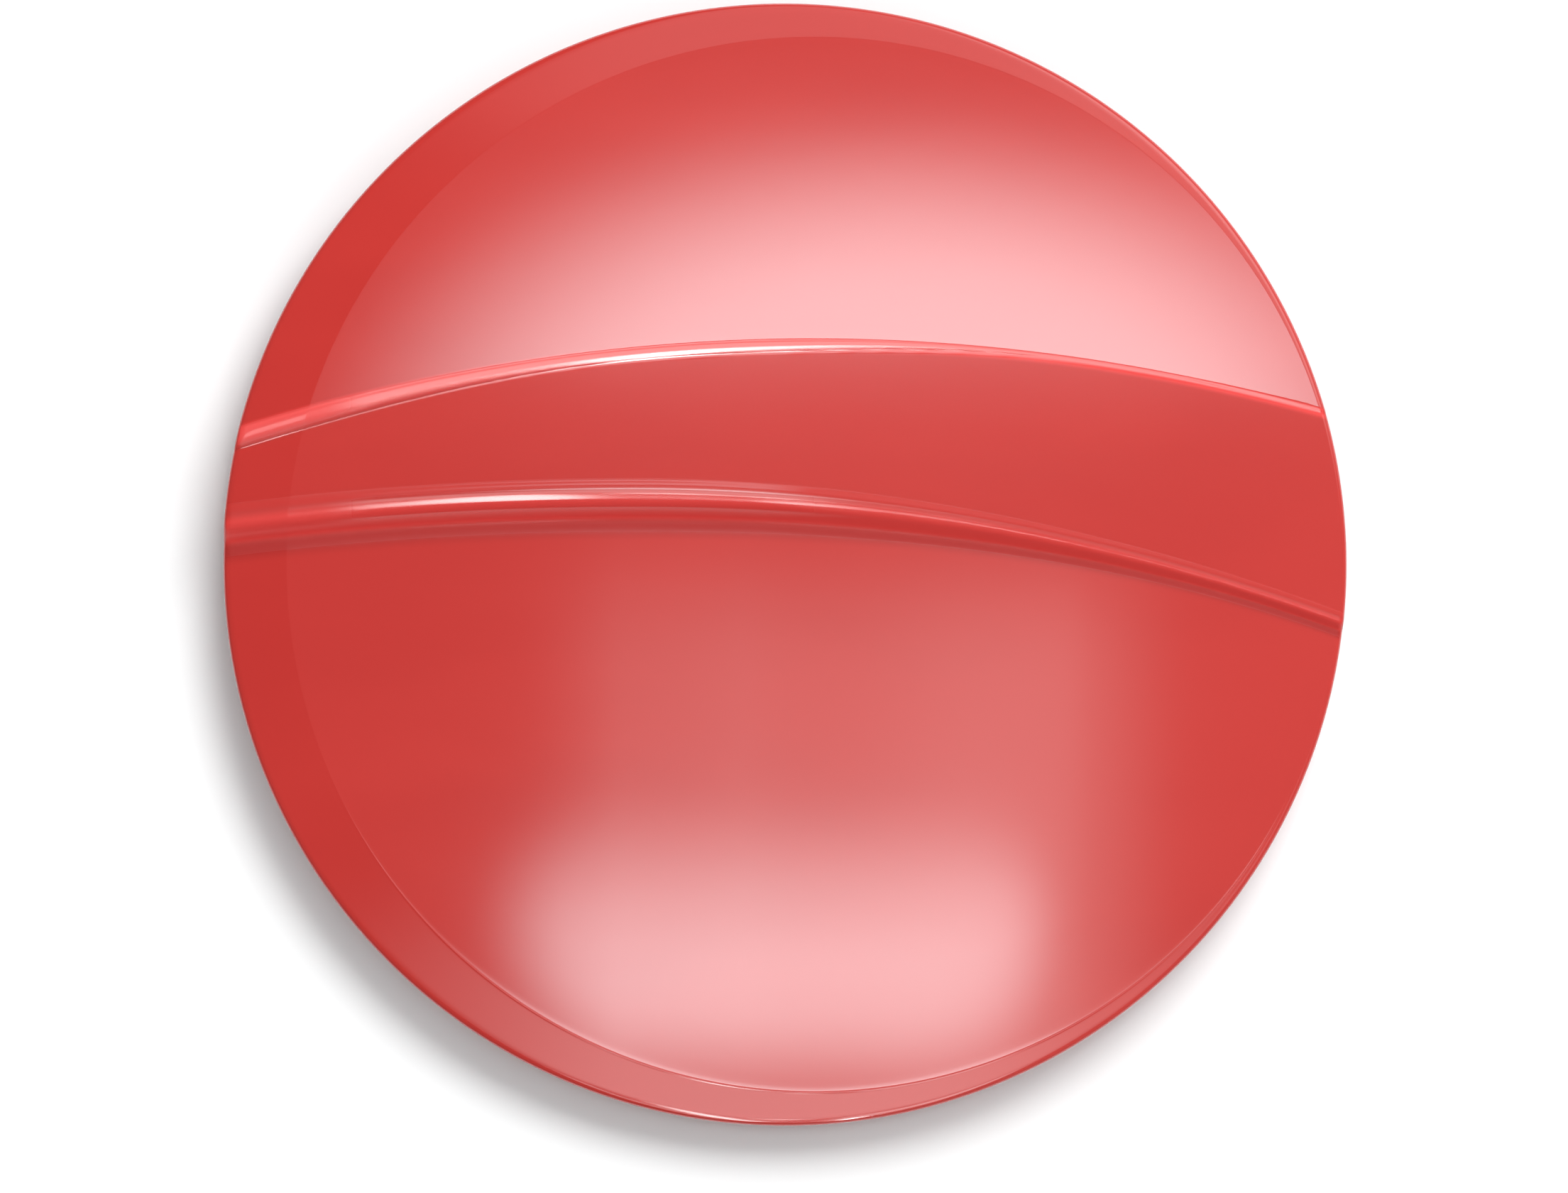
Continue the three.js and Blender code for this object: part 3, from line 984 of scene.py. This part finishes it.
COOL_SHEETS = {
    "above the crown": Oval(6.4, (0.052, 0.12), (0.215, 0.115), (0.55, 1.3), (0.085, 0.035)),
    "above the apron": Oval(5.2, (-0.046, -0.2), (0.086, 0.066), (0.56, 1.22), (0.225, 0.085)),
}
WHITE_PANELS = {
    "plateau": Panel(1.4, (-0.01, 0.12), (0.045, 0.08), (-0.25, 0.06), (-0.1, 0.07)),
    "front band": Panel(1.5, (-0.05, 0.35), (0.0, 0.25), (-0.48, 0.1), (-0.34, 0.08)),
    "front band, right": Panel(0.6, (-0.1, 0.25), (0.5, 0.4), (-0.48, 0.1), (-0.34, 0.08)),
    "lip": Panel(3.2, (-0.005, 0.02), (0.14, 0.08), (-0.8, 0.5), (-0.62, 0.08)),
    "left shoulder": Panel(2.6, (-0.24, 0.06), (-0.23, 0.05), (-1.2, 1.0), (-0.62, 0.08)),
    "lip glint": Oval(30.0, (0.05, -1.4), (0.02, 0.45), (0.6, 1.1), (0.62, 0.08), -0.065),
    "bead glint": Oval(13.0, (-0.12, -0.92), (0.032, 0.42), (0.65, 1.1), (0.56, 0.05)),
    "small bead glint": Oval(12.0, (-0.057, -0.6), (0.008, 0.09), (0.5, 1.1), (0.54, 0.03)),
    "back": Panel(0.6, (-0.08, 0.3), (3.0, 1.0), (0.42, 0.1), (1.5, 1.0)),
    "back right": Panel(1.4, (0.5, 0.4), (1.0, 0.6), (0.3, 0.3), (1.0, 0.6)),
}
SHEET_TINT = (0.8, 1.0, 1.04)
TENT_RADIANCE = 0.2
TENT_RISE = 0.17
TENT_RISE_FROM = -0.35
HORIZON_RADIANCE = 1.05
HORIZON_SLOPES = (15.0, 30.0)
LOWEST_WAY = 0.02


def tent():
    """A tent of light round the disc, with the soft panels that its gloss mirrors."""
    world = bpy.data.worlds.new("tent")
    bpy.context.scene.world = world
    world.use_nodes = True
    tree = Tree(world.node_tree)
    way_x, way_y, way_z = tree.split(tree.link("ShaderNodeTexCoord", output=0))
    height = way_z.at_least(LOWEST_WAY)
    across, along = way_x / height, way_y / height
    white = TENT_RADIANCE + TENT_RISE * across.smooth_step(TENT_RISE_FROM, 0.0)
    for panel in WHITE_PANELS.values():
        white = white + panel.light(across, along)
    low = hypotenuse(across, along).smooth_step(*HORIZON_SLOPES)
    white = white + low * (HORIZON_RADIANCE - white)
    cool = sum(sheet.light(across, along) for sheet in COOL_SHEETS.values())
    colour = tree.join(*[white + share * cool for share in SHEET_TINT])
    world.node_tree.links.new(colour.socket, world.node_tree.nodes["Background"].inputs["Color"])


KEY_WIDTH = 1.6
KEY_DISTANCE = 3.0
KEY_TURN = math.radians(63)
KEY_LEAN = math.radians(38)
KEY_RADIANCE = 11.6


def key_lamp():
    """A round lamp behind diffusing cloth: it lights and shades, but the gloss doesn't mirror it."""
    data = bpy.data.lights.new("key", "AREA")
    data.shape = "DISK"
    data.size = KEY_WIDTH
    data.energy = KEY_RADIANCE * math.pi * math.pi * (KEY_WIDTH / 2) ** 2
    lamp = bpy.data.objects.new("key", data)
    aside = math.sin(KEY_LEAN)
    way = Vector((aside * math.cos(KEY_TURN), aside * math.sin(KEY_TURN), math.cos(KEY_LEAN)))
    lamp.location = KEY_DISTANCE * way
    lamp.rotation_euler = way.to_track_quat("Z", "Y").to_euler()
    lamp.visible_camera = False
    lamp.visible_glossy = False
    bpy.context.scene.collection.objects.link(lamp)


# ---------------------------------------------------------------- assembly

PIECES = [
    (form_shell, gloss_shell_finish, "top_shell", "gloss_shell"),
    (form_inner_rim, satin_rim_finish, "inner_rim", "satin_rim"),
    (form_grip_ring, soft_grip_finish, "grip_ring", "soft_grip"),
]

for form, finish, node, slot in PIECES:
    piece = form(finish())
    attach(piece, "root")
    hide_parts(node)

floor()
camera()
tent()
key_lamp()
